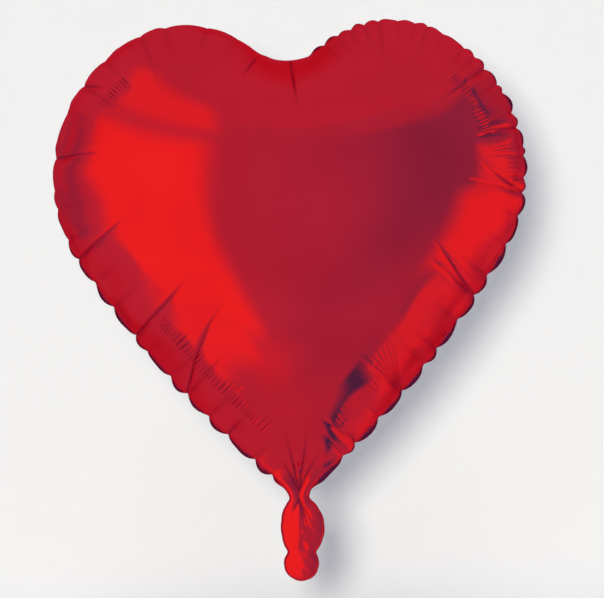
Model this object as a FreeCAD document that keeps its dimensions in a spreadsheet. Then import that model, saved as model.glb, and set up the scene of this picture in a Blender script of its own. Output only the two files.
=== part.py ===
import FreeCAD, Part
import math
import os

import Sketcher
from FreeCAD import Vector

# A heart-shaped foil balloon, inflated. Two films of metallised plastic are welded together round a flat
# flange, and gas bulges each one into a dome. Both films go on below the neck as a limp filling tail.
# +Z is up and the front faces -Y. The origin is the middle of the neck, where the balloon is held.

doc = FreeCAD.newDocument("FoilBalloon")

DIMENSIONS = {
    # heart outline, at the outer edge of the flange
    "heart_width": 392.0,
    "heart_height": 392.0,
    "notch_height": 360.0,
    "lobe_offset": 85.5,
    "lobe_radius": 88.5,
    "side_radius": 132.5,
    "flank_radius": 900.0,
    "tip_radius": 9.0,
    "flange_width": 5.0,
    "film_gauge": 0.6,
    # dome
    "dome_depth": 90.0,
    "crest_height": 245.0,
    "crest_scale": 0.2,
    # neck, which is gathered to a flat pinch at the hinge line
    "neck_width": 16.0,
    "neck_overlap": 12.0,
    "hinge_gap": 2.5,
    "pinch_half_width": 6.0,
    "pinch_depth": 1.8,
    "throat_half_width": 7.0,
    "throat_depth": 10.0,
    "throat_length": 18.0,
    # filling tail
    "tail_half_width": 18.0,
    "tail_half_length": 26.0,
    "tail_centre_drop": 28.5,
    "tail_depth": 6.0,
    "tail_crest_scale": 0.45,
    "mouth_radius": 14.0,
    "mouth_drop": 57.5,
    "mouth_depth": 5.0,
    "mouth_flange": 4.0,
    "tail_throat_half_width": 7.0,
    "tail_throat_depth": 4.0,
    "tail_throat_length": 14.0,
    "inlet_radius": 3.5,
    # valve, two plies of thin plastic film through the neck
    "ply_gauge": 0.3,
    "ply_gap": 0.3,
    "ply_neck_half_width": 3.2,
    "ply_inner_half_width": 11.0,
    "ply_inner_length": 75.0,
    "ply_inner_shoulder": 32.0,
    "ply_outer_half_width": 9.0,
    "ply_outer_length": 42.0,
    "ply_outer_shoulder": 22.0,
    "ply_neck_length": 12.0,
}

sheet = doc.addObject("Spreadsheet::Sheet", "Dims")
for row, (alias, size) in enumerate(DIMENSIONS.items(), start=1):
    sheet.set(f"A{row}", alias)
    sheet.set(f"B{row}", str(size))
    sheet.setAlias(f"B{row}", alias)
doc.recompute()

# Which side of the seam plane a film lies on. A sketch on the XZ plane faces -Y, so +1 is the front.
FRONT, BACK = 1, -1
HEART_LEVELS = (0, 22.5, 45, 67.5, 90)  # degrees from the seam to the crest of a dome
TAIL_LEVELS = (0, 30, 60, 90)
ORIGIN, V_AXIS = -1, -2
START, END, CENTRE = 1, 2, 3


def value(sketch, expression):
    return float(sketch.evalExpression(expression))


def new_sketch(body, name, role, offset="0"):
    """A sketch on one of the body's own origin planes, moved along its normal."""
    sketch = body.newObject("Sketcher::SketchObject", name)
    support = next(f for f in body.Origin.OriginFeatures if f.Role == role)
    sketch.AttachmentSupport = [(support, "")]
    sketch.MapMode = "FlatFace"
    sketch.setExpression("AttachmentOffset.Base.z", offset)
    return sketch


def dimension(sketch, kind, *where, size):
    """One dimension of a sketch, bound to an expression on the sheet."""
    index = sketch.addConstraint(Sketcher.Constraint(kind, *where, value(sketch, size)))
    sketch.setExpression(f"Constraints[{index}]", size)


def place(sketch, item, point, across, up):
    """Fix a point of a sketch by its distances from the origin, each on the side its sign says."""
    for kind, size in (("DistanceX", across), ("DistanceY", up)):
        if size is None:
            continue
        if value(sketch, size) < 0:
            dimension(sketch, kind, item, point, ORIGIN, START, size=f"-({size})")
        else:
            dimension(sketch, kind, ORIGIN, START, item, point, size=size)


def arc(centre, radius, start, end):
    """A counter-clockwise arc between the directions of two points."""
    angles = [math.atan2(p.y - centre.y, p.x - centre.x) for p in (start, end)]
    return Part.ArcOfCircle(Part.Circle(centre, Vector(0, 0, 1), radius), *angles)


def mirrored(point):
    return Vector(-point.x, point.y, 0)


def draw_heart(sketch, scale="1", tip_scale="1", inset="0"):
    """A heart of eight tangent arcs: tip, flanks, sides, lobes and notch.

    scale shrinks it towards the crest, tip_scale does so for the tip alone, and inset makes it parallel
    to itself, that much further in."""
    crest = "Dims.crest_height"
    lobe_height = "(Dims.heart_height - Dims.lobe_radius)"
    # the notch arc touches both lobes, and its lowest point is at notch_height
    rise = f"(Dims.notch_height - {lobe_height})"
    notch_radius = (
        f"({rise}^2 + Dims.lobe_offset^2 - Dims.lobe_radius^2)"
        f" / (2 * (Dims.lobe_radius - {rise}))"
    )
    lobe_x = f"Dims.lobe_offset * {scale}"
    lobe_z = f"{crest} + ({lobe_height} - {crest}) * {scale}"
    lobe_r = f"(Dims.lobe_radius - {inset}) * {scale}"
    side_x = f"(Dims.heart_width / 2 - Dims.side_radius) * {scale}"
    side_r = f"(Dims.side_radius - {inset}) * {scale}"
    flank_r = f"(Dims.flank_radius - {inset}) * {scale}"
    notch_z = f"{crest} + (Dims.notch_height + {notch_radius} - {crest}) * {scale}"
    tip_z = f"{crest} + (Dims.hinge_gap + Dims.tip_radius - {crest}) * {tip_scale}"
    tip_r = f"Dims.tip_radius - {inset}"

    lobe = Vector(value(sketch, lobe_x), value(sketch, lobe_z), 0)
    notch = Vector(0, value(sketch, notch_z), 0)
    tip = Vector(0, value(sketch, tip_z), 0)
    r_lobe, r_side, r_flank, r_tip = (value(sketch, r) for r in (lobe_r, side_r, flank_r, tip_r))
    x_side = value(sketch, side_x)
    side = Vector(x_side, lobe.y - math.sqrt((r_side - r_lobe) ** 2 - (x_side - lobe.x) ** 2), 0)
    r_notch = (lobe - notch).Length - r_lobe
    shoulder = side + (lobe - side).normalize() * r_side
    cleft = notch + (lobe - notch).normalize() * r_notch
    # the flank's centre lies far to the left, a known distance from the centres of the side and the tip
    to_side = r_flank - r_side
    to_tip = r_flank - r_tip
    apart = (tip - side).Length
    along = (apart**2 + to_side**2 - to_tip**2) / (2 * apart)
    ahead = (tip - side).normalize()
    flank = side + ahead * along + Vector(ahead.y, -ahead.x, 0) * math.sqrt(to_side**2 - along**2)
    hip = side + (side - flank).normalize() * r_side
    toe = tip + (tip - flank).normalize() * r_tip

    (
        tip_arc, flank_arc, side_arc, lobe_arc,
        notch_arc, left_lobe, left_side, left_flank,
    ) = sketch.addGeometry([
        arc(tip, r_tip, mirrored(toe), toe),
        arc(flank, r_flank, toe, hip),
        arc(side, r_side, hip, shoulder),
        arc(lobe, r_lobe, shoulder, cleft),
        arc(notch, r_notch, mirrored(cleft), cleft),
        arc(mirrored(lobe), r_lobe, mirrored(cleft), mirrored(shoulder)),
        arc(mirrored(side), r_side, mirrored(shoulder), mirrored(hip)),
        arc(mirrored(flank), r_flank, mirrored(hip), mirrored(toe)),
    ], False)
    for join in (
        (tip_arc, END, flank_arc, START),
        (flank_arc, END, side_arc, START),
        (side_arc, END, lobe_arc, START),
        (lobe_arc, END, notch_arc, END),
        (notch_arc, START, left_lobe, START),
        (left_lobe, END, left_side, START),
        (left_side, END, left_flank, START),
        (left_flank, END, tip_arc, START),
    ):
        sketch.addConstraint(Sketcher.Constraint("Tangent", *join))
    sketch.addConstraint(Sketcher.Constraint("PointOnObject", tip_arc, CENTRE, V_AXIS))
    place(sketch, tip_arc, CENTRE, None, tip_z)
    dimension(sketch, "Radius", tip_arc, size=tip_r)
    place(sketch, notch_arc, CENTRE, None, notch_z)
    place(sketch, lobe_arc, CENTRE, lobe_x, lobe_z)
    dimension(sketch, "Radius", lobe_arc, size=lobe_r)
    place(sketch, left_lobe, CENTRE, f"-({lobe_x})", lobe_z)
    sketch.addConstraint(Sketcher.Constraint("Equal", lobe_arc, left_lobe))
    place(sketch, side_arc, CENTRE, side_x, None)
    dimension(sketch, "Radius", side_arc, size=side_r)
    place(sketch, left_side, CENTRE, f"-({side_x})", None)
    sketch.addConstraint(Sketcher.Constraint("Equal", side_arc, left_side))
    dimension(sketch, "Radius", flank_arc, size=flank_r)
    sketch.addConstraint(Sketcher.Constraint("Equal", flank_arc, left_flank))


def draw_polygon(sketch, corners):
    """A closed polygon through corners, each a pair of expressions."""
    points = [Vector(value(sketch, x), value(sketch, y), 0) for x, y in corners]
    count = len(points)
    lines = [Part.LineSegment(points[i], points[(i + 1) % count]) for i in range(count)]
    sides = sketch.addGeometry(lines, False)
    for i, (across, up) in enumerate(corners):
        sketch.addConstraint(Sketcher.Constraint("Coincident", sides[i - 1], END, sides[i], START))
        place(sketch, sides[i], START, across, up)


def draw_strip(sketch, half_widths):
    """A strip that is symmetric about Z, from (half width, height) pairs listed upwards."""
    right = list(half_widths)
    left = [(f"-({half})", height) for half, height in reversed(right)]
    draw_polygon(sketch, right + left)


def draw_ellipse(sketch, half_width, half_length, drop):
    """An upright ellipse whose centre is drop below the origin."""
    middle, a, b = (value(sketch, e) for e in (drop, half_length, half_width))
    centre = Vector(0, -middle, 0)
    ellipse = Part.Ellipse(centre + Vector(0, a, 0), centre + Vector(b, 0, 0), centre)
    oval = sketch.addGeometry(ellipse, False)
    sketch.exposeInternalGeometry(oval)
    long_axis, short_axis = oval + 1, oval + 2
    sketch.addConstraint(Sketcher.Constraint("PointOnObject", oval, CENTRE, V_AXIS))
    sketch.addConstraint(Sketcher.Constraint("Vertical", long_axis))
    place(sketch, oval, CENTRE, None, f"-({drop})")
    dimension(sketch, "Distance", long_axis, size=f"2 * ({half_length})")
    dimension(sketch, "Distance", short_axis, size=f"2 * ({half_width})")


def draw_circle(sketch, radius, drop):
    centre = Vector(0, -value(sketch, drop), 0)
    circle = sketch.addGeometry(Part.Circle(centre, Vector(0, 0, 1), value(sketch, radius)), False)
    sketch.addConstraint(Sketcher.Constraint("PointOnObject", circle, CENTRE, V_AXIS))
    place(sketch, circle, CENTRE, None, f"-({drop})")
    dimension(sketch, "Radius", circle, size=radius)


def draw_gutter(sketch, side, half_width, depth):
    """The segment of a circle that one film makes of the neck: a chord on the seam plane and its bow."""
    w, d = value(sketch, half_width), value(sketch, depth)
    radius = f"(({half_width})^2 + ({depth})^2) / (2 * ({depth}))"
    centre = Vector(0, -side * (d - value(sketch, radius)), 0)
    left, right = Vector(-w, 0, 0), Vector(w, 0, 0)
    first, last = (left, right) if side == FRONT else (right, left)
    bow = sketch.addGeometry(arc(centre, value(sketch, radius), first, last), False)
    chord = sketch.addGeometry(Part.LineSegment(last, first), False)
    sketch.addConstraint(Sketcher.Constraint("Coincident", bow, END, chord, START))
    sketch.addConstraint(Sketcher.Constraint("Coincident", chord, END, bow, START))
    sketch.addConstraint(Sketcher.Constraint("Symmetric", chord, START, chord, END, ORIGIN, START))
    sketch.addConstraint(Sketcher.Constraint("Horizontal", chord))
    dimension(sketch, "Distance", chord, size=f"2 * ({half_width})")
    dimension(sketch, "Radius", bow, size=radius)


def pad(body, sketch, length, reverse=False):
    feature = body.newObject("PartDesign::Pad", f"{sketch.Name}Pad")
    feature.Profile = sketch
    feature.setExpression("Length", length)
    feature.Reversed = reverse
    return feature


def loft(body, kind, name, sketches):
    feature = body.newObject(f"PartDesign::{kind}", name)
    feature.Profile = sketches[0]
    feature.Sections = sketches[1:]
    return feature


def dome(body, side, kind, name, levels, depth, crest_scale, draw):
    """Loft level outlines from the seam plane to a dome's crest, along a quarter of an ellipse."""
    sketches = []
    for level, angle in enumerate(levels):
        height = f"{side} * ({depth}) * sin({angle})"
        sketch = new_sketch(body, f"{name}Level{level}", "XZ_Plane", height)
        draw(sketch, f"({crest_scale} + (1 - {crest_scale}) * cos({angle}))", angle)
        sketches.append(sketch)
    return loft(body, kind, name, sketches)


def throat(body, side, kind, name, way, ends):
    """Loft the gathered neck between two gutters. ends holds (distance, half width, depth) for each."""
    sketches = []
    for index, (distance, half_width, depth) in enumerate(ends):
        sketch = new_sketch(body, f"{name}End{index}", "XY_Plane", f"{way} * ({distance})")
        draw_gutter(sketch, side, half_width, depth)
        sketches.append(sketch)
    return loft(body, kind, name, sketches)


def new_body(label):
    body = doc.addObject("PartDesign::Body", label)
    body.Label = label
    return body


def heart_panel(label, side):
    """One heart film: flat flange, neck tab, domed middle and gathered throat, one gauge thick."""
    body = new_body(label)
    gauge = "Dims.film_gauge"
    flange = new_sketch(body, f"{label}Flange", "XZ_Plane")
    draw_heart(flange)
    pad(body, flange, gauge, side == BACK)
    tab = new_sketch(body, f"{label}NeckTab", "XZ_Plane")
    half_neck = "Dims.neck_width / 2"
    draw_strip(tab, [(half_neck, "Dims.hinge_gap"), (half_neck, "Dims.hinge_gap + Dims.neck_overlap")])
    pad(body, tab, gauge, side == BACK)

    # the tip of the dome rises half as an ellipse and half as a straight ridge
    def level(film):
        def draw(sketch, scale, angle):
            rise = f"((cos({angle}) + 1 - sin({angle})) / 2)"
            tip_scale = f"(Dims.crest_scale + (1 - Dims.crest_scale) * {rise})"
            draw_heart(sketch, scale, tip_scale, f"(Dims.flange_width + {film})")
        return draw

    def throat_ends(film):
        return (
            ("Dims.hinge_gap", f"Dims.pinch_half_width - {film}", f"Dims.pinch_depth - {film}"),
            ("Dims.hinge_gap + Dims.throat_length",
             f"Dims.throat_half_width - {film}", f"Dims.throat_depth - {film}"),
        )

    dome(body, side, "AdditiveLoft", f"{label}Dome", HEART_LEVELS, "Dims.dome_depth",
         "Dims.crest_scale", level("0"))
    throat(body, side, "AdditiveLoft", f"{label}Throat", 1, throat_ends("0"))
    dome(body, side, "SubtractiveLoft", f"{label}Inside", HEART_LEVELS, f"Dims.dome_depth - {gauge}",
         "Dims.crest_scale", level(gauge))
    throat(body, side, "SubtractiveLoft", f"{label}Passage", 1, throat_ends(gauge))
    return body


def tail_panel(label, side):
    """One tail film: a flat oval leaf and a round mouth, both slightly puffed, under the gathered neck."""
    body = new_body(label)
    gauge, flange = "Dims.film_gauge", "Dims.flange_width"
    leaf = new_sketch(body, f"{label}Leaf", "XZ_Plane")
    draw_ellipse(leaf, "Dims.tail_half_width", "Dims.tail_half_length", "Dims.tail_centre_drop")
    pad(body, leaf, gauge, side == BACK)
    mouth = new_sketch(body, f"{label}Mouth", "XZ_Plane")
    draw_circle(mouth, "Dims.mouth_radius", "Dims.mouth_drop")
    pad(body, mouth, gauge, side == BACK)
    tab = new_sketch(body, f"{label}NeckTab", "XZ_Plane")
    half_neck = "Dims.neck_width / 2"
    draw_strip(tab, [(half_neck, "-(Dims.hinge_gap + Dims.neck_overlap)"), (half_neck, "-Dims.hinge_gap")])
    pad(body, tab, gauge, side == BACK)

    def leaf_level(film):
        def draw(sketch, scale, angle):
            draw_ellipse(sketch, f"(Dims.tail_half_width - {flange} - {film}) * {scale}",
                         f"(Dims.tail_half_length - {flange} - {film}) * {scale}", "Dims.tail_centre_drop")
        return draw

    def mouth_level(film):
        def draw(sketch, scale, angle):
            radius = f"(Dims.mouth_radius - Dims.mouth_flange - {film}) * {scale}"
            draw_circle(sketch, radius, "Dims.mouth_drop")
        return draw

    def throat_ends(film):
        return (
            ("Dims.hinge_gap", f"Dims.pinch_half_width - {film}", f"Dims.pinch_depth - {film}"),
            ("Dims.hinge_gap + Dims.tail_throat_length",
             f"Dims.tail_throat_half_width - {film}", f"Dims.tail_throat_depth - {film}"),
        )

    scale = "Dims.tail_crest_scale"
    for kind, what, film in (("AdditiveLoft", "Puff", "0"), ("SubtractiveLoft", "Inside", gauge)):
        dome(body, side, kind, f"{label}Leaf{what}", TAIL_LEVELS, f"Dims.tail_depth - {film}", scale,
             leaf_level(film))
        dome(body, side, kind, f"{label}Mouth{what}", TAIL_LEVELS, f"Dims.mouth_depth - {film}", scale,
             mouth_level(film))
        throat(body, side, kind, f"{label}Throat{what}", -1, throat_ends(film))
    return body


def pierce_inlet(body):
    """The filling hole through the crest of the mouth."""
    sketch = new_sketch(body, f"{body.Label}Inlet", "XZ_Plane", "-Dims.mouth_depth - Dims.film_gauge")
    draw_circle(sketch, "Dims.inlet_radius", "Dims.mouth_drop")
    hole = body.newObject("PartDesign::Pocket", f"{sketch.Name}Hole")
    hole.Profile = sketch
    hole.setExpression("Length", "3 * Dims.film_gauge")
    hole.Reversed = True


def valve_ply(label, side):
    """One ply of the valve: wide inside the heart and in the tail, gathered through the neck."""
    body = new_body(label)
    sketch = new_sketch(body, f"{label}Outline", "XZ_Plane", f"{side} * Dims.ply_gap / 2")
    draw_strip(sketch, [
        ("Dims.ply_outer_half_width", "-Dims.ply_outer_length"),
        ("Dims.ply_outer_half_width", "-Dims.ply_outer_shoulder"),
        ("Dims.ply_neck_half_width", "-Dims.ply_neck_length"),
        ("Dims.ply_neck_half_width", "Dims.ply_neck_length"),
        ("Dims.ply_inner_half_width", "Dims.ply_inner_shoulder"),
        ("Dims.ply_inner_half_width", "Dims.ply_inner_length"),
    ])
    pad(body, sketch, "Dims.ply_gauge", side == BACK)
    return body


def check(bodies):
    """Stop on anything that failed to compute, and on a shape that isn't one valid solid."""
    for item in doc.Objects:
        if "Invalid" in item.State or "Error" in item.State:
            raise RuntimeError(f"{item.Name} failed: {item.State}")
    for body in bodies:
        shape = body.Shape
        if shape.isNull() or not shape.isValid() or len(shape.Solids) != 1:
            raise RuntimeError(f"{body.Label} is not one valid solid")


panels = [
    heart_panel("front_panel", FRONT),
    heart_panel("back_panel", BACK),
    tail_panel("tail_front", FRONT),
    tail_panel("tail_back", BACK),
]
doc.recompute()
uncut = panels[-1].Shape.Volume
pierce_inlet(panels[-1])
plies = [valve_ply("valve_front_ply", FRONT), valve_ply("valve_back_ply", BACK)]
doc.recompute()
check(panels + plies)
if panels[-1].Shape.Volume >= uncut:
    raise RuntimeError("the inlet cut nothing")

os.makedirs("parts", exist_ok=True)
for body in panels + plies:
    body.Shape.exportStep(f"parts/{body.Label}.step")
    box = body.Shape.BoundBox
    print(f"{body.Label}: {box.XLength:.1f} x {box.YLength:.1f} x {box.ZLength:.1f} mm,"
          f" z {box.ZMin:.1f} to {box.ZMax:.1f}, {body.Shape.Volume / 1000:.2f} cm3")
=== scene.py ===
"""Heart-shaped foil balloon: how it looks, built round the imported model."""

import math

import bpy
import numpy as np
from mathutils import Matrix, Vector
from mathutils.geometry import delaunay_2d_cdt
from mathutils.kdtree import KDTree


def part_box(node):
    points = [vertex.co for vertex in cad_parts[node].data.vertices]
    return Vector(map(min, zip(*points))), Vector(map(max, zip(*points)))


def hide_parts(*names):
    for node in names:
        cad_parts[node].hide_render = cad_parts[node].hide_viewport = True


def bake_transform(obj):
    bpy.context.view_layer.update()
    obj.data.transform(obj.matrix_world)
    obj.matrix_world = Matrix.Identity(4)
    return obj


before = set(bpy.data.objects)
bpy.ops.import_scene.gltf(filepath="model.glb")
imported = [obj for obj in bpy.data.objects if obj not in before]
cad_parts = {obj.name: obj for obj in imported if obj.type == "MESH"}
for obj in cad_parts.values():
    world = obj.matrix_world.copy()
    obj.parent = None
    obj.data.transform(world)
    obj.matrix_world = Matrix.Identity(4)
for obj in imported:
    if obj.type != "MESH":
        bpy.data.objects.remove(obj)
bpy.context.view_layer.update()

# ---- Sizes ----
# Lengths are in millimetres in the heart's own plane, across and up, unless a comment says metres.
# The outline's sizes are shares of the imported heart's width.
MM = 0.001

panel_low, panel_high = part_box("front_panel")
HEART_WIDTH = (panel_high.x - panel_low.x) / MM
HEART_TOP = panel_high.z / MM
DOME_DEPTH = -panel_low.y / MM
tail_low, tail_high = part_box("tail_back")
TAIL_BOTTOM = -tail_low.z / MM
TAIL_HALF = (tail_high.x - tail_low.x) / MM / 2

LOBE_OFFSET = 0.218 * HEART_WIDTH
LOBE_RADIUS = 0.226 * HEART_WIDTH
SIDE_RADIUS = 0.338 * HEART_WIDTH
FLANK_RADIUS = 2.29 * HEART_WIDTH
NOTCH_DROP = 0.081 * HEART_WIDTH
NOTCH_HEIGHT = HEART_TOP - NOTCH_DROP
NECK_RIGHT = (10.5, 4.0)
NECK_LEFT = (-13.0, 6.0)

# The tail: an oval leaf with a round mouth below it, hanging a little askew.
LEAF_DROP = 27.0  # from the neck down to the leaf's middle
LEAF_HALF = 26.0  # half the leaf's height
THROAT_HALF = 8.0  # the tail is at least this far out above the leaf's middle
MOUTH_RADIUS = 14.5
MOUTH_DROP = TAIL_BOTTOM - MOUTH_RADIUS
TAIL_LEAN = 2.0  # how far the leaf stands to the right
TAIL_SOFTENING = 45  # rounds of smoothing, for its waist and for the corners at the neck
INLET = (0.0, -57.5)
INLET_RADIUS = 3.5

DOME_FULLNESS = 1.6  # 1 is a soap film. More is a flatter middle and steeper sides
DOME_STARTS = (-2, 34)  # heights between which the limp tail turns into the full dome
TAIL_PUFF = 4.6  # how far the limp tail stands open, each way
TAIL_TWIST = 0.2  # the tail's right side comes forward by this share of its width
TWIST_STARTS = (2, 16)  # distances below the neck between which it starts
DEEPEST_SHARE = 0.6  # no crease goes further in than this share of the way to the heart's plane
FILM = 0.25  # thickness that the film is given
FILM_GAP = 0.02  # half the gap between the two films where they are sealed

# The sealed rim: how wide it is, and how much of that shows from the front. The rest leans back.
FLANGE = 5.0
TAIL_FLANGE = 3.0
LEAST_SHOWN = 0.4
SHOWN_RIGHT = 3.6  # added on the right side, less over the right lobe
SHOWN_LEFT = 3.0  # added on the lower left
LOBE_SHARE = 0.55
TAIL_SHARE = 0.35  # of the tail's flange
STEEPEST_LEAN = 1.45  # radians
FULL_GAP = 26  # two gathers this far apart let the rim between them show fully
LIFT_LIMITS = (0.35, 1.1)
# Stretches where that changes: along the rim from the notch, and then from the end of the tail.
RIGHT_STARTS, LOBE_STARTS, LOBE_ENDS = (8, 30), (60, 90), (150, 200)
RIGHT_ENDS, LEFT_STARTS, LEFT_ENDS = (0, 60), (0, 20), (230, 330)
SEAL_STARTS = (0.7, 1.7)  # the painted dark reflection on it starts where this much of it shows
NECK_FADE = (12, 4)  # the heart's rim turns into the tail's from this far above the neck to below it
TAIL_INSET_CUT, NECK_INSET_CUT = 0.58, 0.2  # how much closer together the rings lie there
# Rounds of smoothing along the rim.
OUT_ROUNDS, SHOWN_ROUNDS, INSET_ROUNDS, SEAM_ROUNDS, SEAL_ROUNDS = 6, 2, 12, 80, 60

# The rim gathers into a pucker at the foot of each long crease and at uneven steps between them: about
# this far apart above and below the heart's widest place, for the right side (1) and the left (-1).
GATHER_SPACING = {1: (14.0, 24.0), -1: (29.0, 25.0)}
GATHER_UNEVENNESS = 0.28
GATHER_DEPTHS = (0.7, 1.8)
GATHER_REACHES = (12, 26)
GATHER_CURVE = 0.7  # under 1: the film bulges between two gathers and comes in sharply at them
GATHER_BREADTH = 1.6
SCALLOP = 0.7  # share of a gather's depth that the rim itself goes in there
GATHER_HOLLOW = 0.35  # how much of a gather's depth the film beside it goes in by
FOOT_DEPTH = 2.6
END_DEPTH = 0.8
WIDEST_HEIGHT = 0.62 * HEART_TOP
NOTCH_CLEAR, NECK_CLEAR = 18.0, 14.0  # no gathers nearer to the notch or the neck than this
TAIL_NODE_SPACING = 13.0
TAIL_NODE_DEPTH = 0.35
PLACE_SEED, REACH_SEED = 5, 11

# Creases that run in from the rim: the height of the foot, the length, how deep, and in degrees how far it
# leans up from straight in and how far it bends on its way.
RIGHT_CREASES = [
    (350, 18, 0.9, 5, 0),
    (300, 28, 1.4, 10, 0),
    (245, 46, 1.6, 22, 8),
    (160, 66, 1.3, 14, 8),
    (160, 54, 0.7, 2, 4),
    (40, 12, 1.2, 20, 0),
]
LEFT_CREASES = [
    (345, 22, 1.0, 25, 0),
    (285, 44, 1.4, 12, 0),
    (200, 60, 1.9, 8, 0),
    (135, 76, 1.9, 6, 0),
    (85, 94, 1.9, 36, -28),
    (50, 16, 1.2, 10, 0),
]
CREASE_BREADTH = 0.8
# A fan of fine creases from one foot on the lower right.
FAN_HEIGHT, FAN_LENGTH, FAN_DEPTH, FAN_BREADTH = 82, 46, 0.5, 0.7
FAN_LEANS = (8, 15, 22, 29, 36)
# The crease that drops from the notch, and the short one beside it: across, length, depth, heading.
NOTCH_CREASES = [(3, 50, 2.6, -83), (-26, 20, 1.0, -125)]
# The back film's creases are shorter than the front's, and lean down where the front's lean up.
BACK_STRETCH, BACK_TILT = 0.85, -1

# Folds where the film is gathered into the neck: degrees off straight up, or off straight down in the tail,
# then the length, how deep and how broad. A negative depth stands up.
NECK_FOLDS = [
    (27, 38, 1.2, 1.8), (11, 60, 2.4, 2.6), (1, 70, -1.4, 3.0), (-9, 62, 2.6, 2.6), (-27, 46, 1.2, 1.8),
]
TAIL_FOLDS = [
    (-30, 18, 0.8, 1.0), (-3, 60, -0.8, 1.6), (9, 34, 0.6, 1.0), (17, 28, 0.9, 1.0), (28, 26, 0.8, 1.0),
]
NECK_REACH = 3.0  # the folds start this far above and below the hinge line

# Bands of fine pleats: the side, the heights that they lie between, how far in from the rim they start,
# how deep and how wide.
PLEATS = [
    (-1, 35, 135, 22, 0.95, 17),
    (-1, 338, 368, 22, 1.10, 17),
    (1, 296, 362, 24, 0.70, 12),
    (1, 246, 291, 5, 0.34, 27),
    (1, 38, 84, 20, 0.28, 11),
    (1, 112, 150, 18, 0.30, 12),
]
PLEAT_SPACING = 3.6
PLEAT_SHARPNESS = 0.65  # under 1: sharp valleys between round backs
PLEAT_PAINTED_SHADE = 2.6  # how dark the painted shade in a pleat is for its depth
CRINKLE_REACH = 9.0  # how far in from the rim the foil is finely crinkled

# Slow unevenness of the film: its height, how many waves make it, and the shortest and longest wave.
RIM_UNEVENNESS = (0.8, 9, 40, 90)
RIM_UNEVEN_REACH = 42
WIDE_UNEVENNESS = (0.30, 5, 130, 260)
TAIL_UNEVENNESS = (0.16, 12, 7, 22)
FRONT_SEED, BACK_SEED = 21, 34

# The mesh: steps along the outline, insets of the rings inside the seam, and spacings of the points.
OUTLINE_STEP = 0.4
HEART_STEP = 1.25
TAIL_STEP = 0.9
INSETS = [0.7, 1.7, 3.0, 4.7, 6.8, 9.2]
RINGS_OUT = 2  # rings outside the seam, on the sealed rim
EDGE_SPACING = 1.9
MIDDLE_SPACING = 3.2
CENTRE_SPACING = 5.0
TAIL_SPACING = 1.15
EDGE_BAND = 40.0
MIDDLE_BAND = 75.0
TAIL_BAND = 25.0  # height up to which the mesh is as fine as the tail's
CREASE_LINES = (-3.4, -1.9, -0.8, 0.0, 0.8, 1.9, 3.4)

# The valve's plies: half widths above the neck, below it and in it.
PLY_ABOVE, PLY_BELOW, PLY_PINCHED = 11.0, 9.0, 3.2
PLY_SHIFT = 3.0  # how far the neck pushes them to the right
PLY_FILM = 0.08
PLY_ROWS, PLY_COLUMNS = 118, 15

# Colours of the foil: its two tones, mixed at random, the painted shade in a crease and the painted dark
# reflection on the sealed rim. All have an alpha of 1.
FOIL_DARK = (0.75, 0.036, 0.045, 1)
FOIL_BRIGHT = (0.81, 0.042, 0.051, 1)
FOLD_PAINTED_SHADE = (0.16, 0.012, 0.036, 1)
SEAL_PAINTED_DARK = (0.14, 0.020, 0.055, 1)
GRAZING_TINT = (0.92, 0.45, 0.50, 1)
PLY_DARK, PLY_BRIGHT = (0.80, 0.81, 0.82, 1), (0.90, 0.91, 0.92, 1)
PAPER_DARK, PAPER_BRIGHT = (0.86, 0.86, 0.865, 1), (0.88, 0.88, 0.88, 1)

# The stage and the camera, in metres and degrees.
FILL_LIGHT = (0.26, 0.265, 0.34, 1)
SEEN_ROOM = (0.86, 0.86, 0.87, 1)
KEY_TINT = (1.0, 0.98, 0.86)
KEY_FROM = (-0.24, -1.0, 0.20)
KEY_STRENGTH = 1.80
OVERHEAD_STRENGTH = 0.9
SUN_SIZE = 23.0
WALL_BEHIND = 0.10
FLOOR_LEVEL = -0.13
WALL_CURVE = 0.08
WALL_LIFT = 0.001
STAGE_REACH = 5.0
CAMERA_DISTANCE = 2.5
CAMERA_FIELD = 0.5007  # width of what it sees, at the neck
CAMERA_ACROSS, CAMERA_UP = 0.007, 0.1624
CAMERA_ROLL = 1.7
SENSOR_WIDTH = 36  # millimetres

# What stands round the balloon, in degrees: azimuth, elevation, half width, half height, how soft its edge is
# across and up, then its brightness. Azimuth 0 is the camera's side, and positive to its right.
STUDIO_LEVEL = 0.60
STUDIO = [
    (48, 0, 32, 44, 28, 3, 0.46),  # the dim room in front, and to the right
    (20, 6, 34, 46, 24, 3, 0.52),  # a grey screen in front of that
    (-54, -2, 35, 37, 6, 8, 1.04),  # the large softbox on the left
    (-30, -52, 20, 8, 8, 8, 0.70),  # its light on the floor
    (-66, -42, 34, 8, 6, 5, 0.98),  # the near part of that
    (-52, 53, 36, 10, 4, 6, 0.92),  # strip light above it
    (62, 0, 42, 39, 30, 3, 0.32),  # dark screen, right of the camera
    (46, -42, 40, 22, 16, 18, 0.48),  # pale floor below it
    (90, -53, 15, 5, 3, 4, 0.08),  # gap in the lights
    (97, 30, 3, 7, 2, 3, 0.12),  # dark stand
    (97, -16, 20, 13, 11, 4, 0.98),  # the low softbox on the right
    (96, 6, 8, 9, 3, 3, 0.90),  # its upper part
    (108, -38, 18, 8, 4, 4, 0.85),  # its light on the floor
    (-106, 2, 6, 20, 4, 4, 0.42),  # shade on the wall, left
    (145, 0, 26, 22, 8, 8, 0.40),  # shade on the wall, right
    (-150, 0, 22, 22, 8, 8, 0.45),  # and behind
]
STUDIO_GREEN = (0.33, 0.13)  # green from in front and from behind
SHADE_BLUE = (2.9, 0.9)  # blue over green, in the darkest and in the brightest part
BRIGHTEST = 1.06


# ---- The outline ----
def unit(vector):
    return vector / np.linalg.norm(vector)


def units(vectors):
    """Each row of an array at a length of one."""
    return vectors / (np.linalg.norm(vectors, axis=1)[:, None] + 1e-12)


def step_lengths(line):
    return np.linalg.norm(np.diff(line, axis=0), axis=1)


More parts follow.
